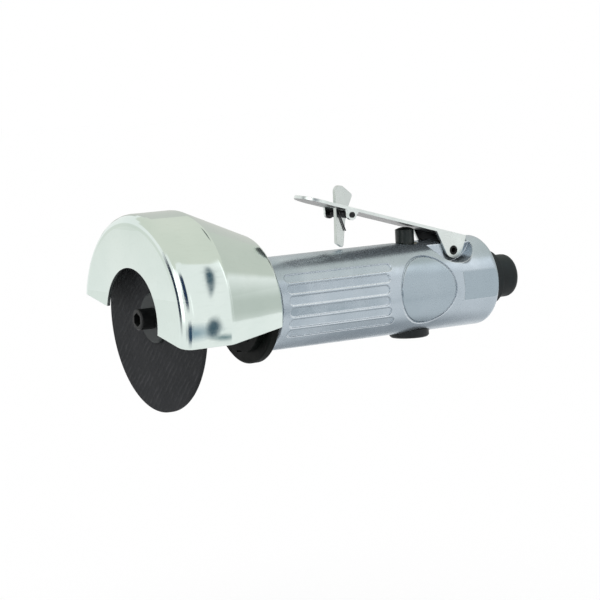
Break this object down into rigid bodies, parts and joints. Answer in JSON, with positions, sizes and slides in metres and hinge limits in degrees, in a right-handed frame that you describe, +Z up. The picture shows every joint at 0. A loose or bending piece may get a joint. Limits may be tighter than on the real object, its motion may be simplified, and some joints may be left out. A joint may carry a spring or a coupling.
{
  "type": "pneumatic cut off tool",
  "caption": "Straight air powered cut-off tool with a fluted round body, throttle lever with safety latch, abrasive wheel and an open-sided wheel guard.",
  "frame": {"origin": "centre of the air inlet's threaded mouth, on the tool's axis", "axes": "+X out of the inlet's mouth, along the motor's axis; the wheel is at -X; +Z up, to the side of the throttle lever; +Y to the tool's right as seen from behind the inlet, looking to the wheel"},
  "size_m": [0.1853, 0.0833, 0.0837],
  "materials": {
    "cast_alloy": "satin cast",
    "black_steel": "black oxide",
    "bright_guard": "bright zinc",
    "bright_nickel": "satin nickel",
    "spring_steel": "dark wire",
    "grey_steel": "turned",
    "bearing_steel": "ground",
    "brass": "turned",
    "seal_rubber": "matt",
    "fibre": "matt",
    "abrasive": "coarse grit with fibre weave"
  },
  "bodies": {
    "housing_body": {"housing": "cast_alloy", "inlet_bushing": "black_steel", "inlet_seal": "seal_rubber", "inlet_screen": "brass", "lever_pin": "black_steel", "valve_bushing": "brass", "rear_bearing_outer": "bearing_steel", "rear_end_plate": "grey_steel", "cylinder_liner": "grey_steel", "liner_dowel": "grey_steel", "front_end_plate": "grey_steel", "front_bearing_outer": "bearing_steel", "clamp_nut": "black_steel", "friction_ring": "fibre", "valve_spring": "spring_steel"},
    "spindle": {"rotor": "grey_steel", "rotor_vanes": "fibre", "rear_bearing_inner": "bearing_steel", "front_bearing_inner": "bearing_steel", "spindle_spacer": "black_steel", "inner_flange": "grey_steel", "cutting_wheel": "abrasive", "outer_flange": "grey_steel", "clamp_screw": "black_steel"},
    "rear_balls": {"rear_bearing_balls": "bearing_steel"},
    "front_balls": {"front_bearing_balls": "bearing_steel"},
    "guard": {"guard_collar": "black_steel", "guard_shell": "bright_guard"},
    "lever": {"throttle_lever": "bright_nickel", "latch_pin": "black_steel", "latch_springs": "spring_steel"},
    "latch": {"safety_latch": "bright_nickel"},
    "valve": {"valve_plunger": "black_steel", "plunger_seal": "seal_rubber", "valve_head": "brass", "valve_washer": "seal_rubber"},
    "regulator": {"air_regulator": "black_steel", "regulator_seal": "seal_rubber", "regulator_clip": "spring_steel"}
  },
  "joints": [
    {"name": "spindle_spin", "type": "hinge", "parent": "housing_body", "child": "spindle", "pos_m": [0, 0, 0], "axis": [1, 0, 0], "continuous": true},
    {"name": "rear_balls_spin", "type": "hinge", "parent": "housing_body", "child": "rear_balls", "pos_m": [0, 0, 0], "axis": [1, 0, 0], "continuous": true},
    {"name": "front_balls_spin", "type": "hinge", "parent": "housing_body", "child": "front_balls", "pos_m": [0, 0, 0], "axis": [1, 0, 0], "continuous": true},
    {"name": "guard_turn", "type": "hinge", "parent": "housing_body", "child": "guard", "pos_m": [-0.1322, 0, 0], "axis": [1, 0, 0], "range_deg": [-90, 90]},
    {"name": "lever_press", "type": "hinge", "parent": "housing_body", "child": "lever", "pos_m": [-0.0346, 0, 0.0144], "axis": [0, -1, 0], "range_deg": [0, 4.5], "stiffness_Nm_per_rad": 3, "springref_deg": -5.73},
    {"name": "latch_turn", "type": "hinge", "parent": "lever", "child": "latch", "pos_m": [-0.08479, 0, 0.03372], "axis": [0, -1, 0], "range_deg": [0, 67.5]},
    {"name": "valve_slide", "type": "slide", "parent": "housing_body", "child": "valve", "axis": [0, 0, -1], "range_m": [0, 0.0015], "deforming": ["valve_spring"]},
    {"name": "regulator_turn", "type": "hinge", "parent": "housing_body", "child": "regulator", "pos_m": [-0.053, 0, -0.015], "axis": [0, 0, 1], "range_deg": [0, 150]}
  ],
  "couplings": [
    {"joint": "rear_balls_spin", "follows": "spindle_spin", "ratio": 0.354},
    {"joint": "front_balls_spin", "follows": "spindle_spin", "ratio": 0.3756},
    {"joint": "latch_turn", "follows": "lever_press", "ratio": 15},
    {"joint": "valve_slide", "follows": "lever_press", "m_per_rad": 0.019014}
  ]
}
